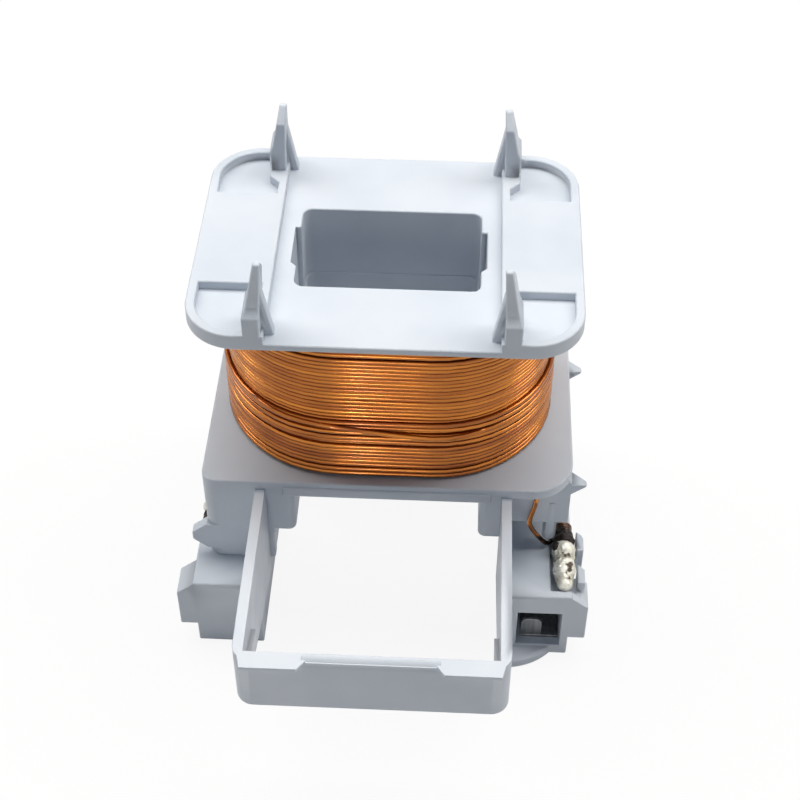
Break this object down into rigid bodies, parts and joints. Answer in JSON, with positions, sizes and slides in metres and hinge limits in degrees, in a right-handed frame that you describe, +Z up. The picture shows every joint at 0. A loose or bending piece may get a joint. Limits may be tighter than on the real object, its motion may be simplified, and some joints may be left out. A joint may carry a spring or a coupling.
{
  "type": "contactor coil",
  "caption": "Contactor coil: copper winding on a moulded bobbin with a rectangular core window, guide ears, a label frame and terminal blocks with spring contacts.",
  "frame": {"origin": "on the axis of the core window, in the plane of the lower flange's underside, where the fixed core's yoke seats", "axes": "+Z up the core window towards the guide ears, -Y towards the label plate, +X towards the finish lead's terminal"},
  "size_m": [0.045, 0.0531, 0.0502],
  "materials": {
    "moulding": "fine satin, light lavender grey",
    "enamelled_copper": "glossy enamel over copper",
    "scorched_copper": "enamel scorched by soldering",
    "tinned_contact": "tinned, dull",
    "solder": "dull, pitted solder"
  },
  "bodies": {
    "coil": {"upper_former": "moulding", "lower_former": "moulding", "terminal_carrier": "moulding", "winding_inner_layers": "enamelled_copper", "winding_outer_layer": "enamelled_copper", "winding_last_layer": "enamelled_copper", "start_lead": "enamelled_copper", "finish_lead": "enamelled_copper", "left_terminal": "tinned_contact", "right_terminal": "tinned_contact", "left_solder_joint": "solder", "right_solder_joint": "solder", "left_lead_wrap": "scorched_copper", "right_lead_wrap": "scorched_copper"},
    "left_leaf": {"left_contact_leaf": "tinned_contact"},
    "right_leaf": {"right_contact_leaf": "tinned_contact"}
  },
  "joints": [
    {"name": "right_leaf_flex", "type": "hinge", "parent": "coil", "child": "right_leaf", "pos_m": [0.01655, -0.0177, -0.01845], "axis": [-1, 0, 0], "range_deg": [0, 8], "stiffness_Nm_per_rad": 0.05},
    {"name": "left_leaf_flex", "type": "hinge", "parent": "coil", "child": "left_leaf", "pos_m": [-0.01655, -0.004, -0.01845], "axis": [1, 0, 0], "range_deg": [0, 8], "stiffness_Nm_per_rad": 0.05}
  ]
}
